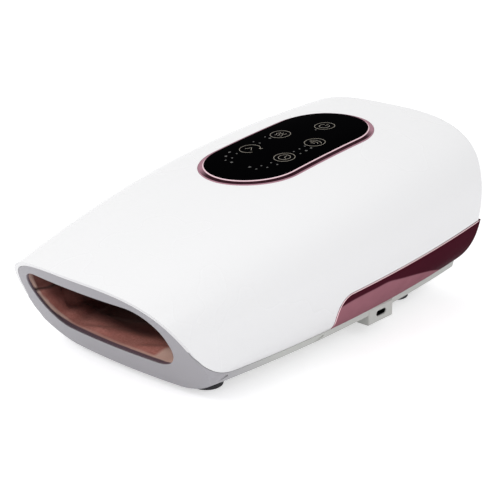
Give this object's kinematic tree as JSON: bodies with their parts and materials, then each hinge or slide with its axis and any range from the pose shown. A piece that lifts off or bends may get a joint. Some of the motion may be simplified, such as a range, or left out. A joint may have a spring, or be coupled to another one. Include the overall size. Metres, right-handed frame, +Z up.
{
  "type": "hand massager",
  "caption": "Air-compression hand massager with a slanted hand mouth, a fabric-lined hand chamber, a touch panel in a bright ring, side inlays and rubber feet.",
  "frame": {"origin": "on the surface the massager stands on, under the middle of the housing's box", "axes": "+Z up, -Y towards the mouth where the hand goes in, +Y towards the closed rear, +X towards the side with the charging socket"},
  "size_m": [0.1642, 0.2732, 0.1064],
  "materials": {
    "bag_film": "translucent TPU film",
    "black_glass": "gloss black acrylic",
    "bush_brass": "sintered bronze",
    "can_steel": "drawn steel",
    "cell_wrap": "shrink wrap",
    "circuit_board": "solder mask",
    "coil_copper": "enamelled copper",
    "film": "polyimide film",
    "foot_rubber": "matt",
    "grey_shell": "satin cool grey ABS",
    "hose_rubber": "translucent silicone",
    "inlay_mirror": "burgundy mirror-coated plastic",
    "inner_plastic": "moulded ABS",
    "liner_fabric": "dusty brown-rose knit",
    "rose_ring": "rose-pink metallised plastic",
    "rotor_steel": "turned steel",
    "screw_steel": "zinc plated",
    "socket_steel": "nickel plated",
    "spring_steel": "spring wire",
    "white_shell": "satin white ABS"
  },
  "bodies": {
    "root": {"air_bag": "bag_film", "battery_cells": "cell_wrap", "battery_tray": "inner_plastic", "board_screws": "screw_steel", "case_screws": "screw_steel", "chamber_frame": "inner_plastic", "foot_front_left": "foot_rubber", "foot_front_right": "foot_rubber", "foot_rear_left": "foot_rubber", "foot_rear_right": "foot_rubber", "frame_screws": "screw_steel", "hand_liner": "liner_fabric", "heating_film": "film", "lower_shell": "grey_shell", "main_board": "circuit_board", "manifold": "inner_plastic", "motor_bushes": "bush_brass", "motor_can": "can_steel", "mouth_clamp": "grey_shell", "node_plate": "inner_plastic", "panel_glass": "black_glass", "panel_ring": "rose_ring", "pump_cradle": "inner_plastic", "pump_diaphragm": "foot_rubber", "pump_head": "inner_plastic", "pump_hose": "hose_rubber", "side_inlay_left": "inlay_mirror", "side_inlay_right": "inlay_mirror", "touch_board": "circuit_board", "touch_screws": "screw_steel", "upper_shell": "white_shell", "usb_board": "circuit_board", "usb_socket": "socket_steel", "valve_hoses": "hose_rubber", "valve_left_body": "inner_plastic", "valve_left_coil": "coil_copper", "valve_left_spring": "spring_steel", "valve_right_body": "inner_plastic", "valve_right_coil": "coil_copper", "valve_right_spring": "spring_steel"},
    "pad": {"press_pad": "liner_fabric"},
    "pump_rotor": {"motor_rotor": "rotor_steel"},
    "right_plunger": {"valve_right_plunger": "rotor_steel"},
    "left_plunger": {"valve_left_plunger": "rotor_steel"}
  },
  "joints": [
    {"name": "pad_press", "type": "slide", "parent": "root", "child": "pad", "axis": [0, 0, -1], "range_m": [0, 0.01], "stiffness_N_per_m": 500, "springref_m": -0.006, "deforming": ["air_bag"]},
    {"name": "pump_spin", "type": "hinge", "parent": "root", "child": "pump_rotor", "pos_m": [0.0358, 0.095, 0.0194], "axis": [0, 1, 0], "continuous": true},
    {"name": "right_valve_lift", "type": "slide", "parent": "root", "child": "right_plunger", "axis": [0, 0, 1], "range_m": [0, 0.001], "stiffness_N_per_m": 200, "springref_m": -0.002, "deforming": ["valve_right_spring"]},
    {"name": "left_valve_lift", "type": "slide", "parent": "root", "child": "left_plunger", "axis": [0, 0, 1], "range_m": [0, 0.001], "stiffness_N_per_m": 200, "springref_m": -0.002, "deforming": ["valve_left_spring"]}
  ]
}
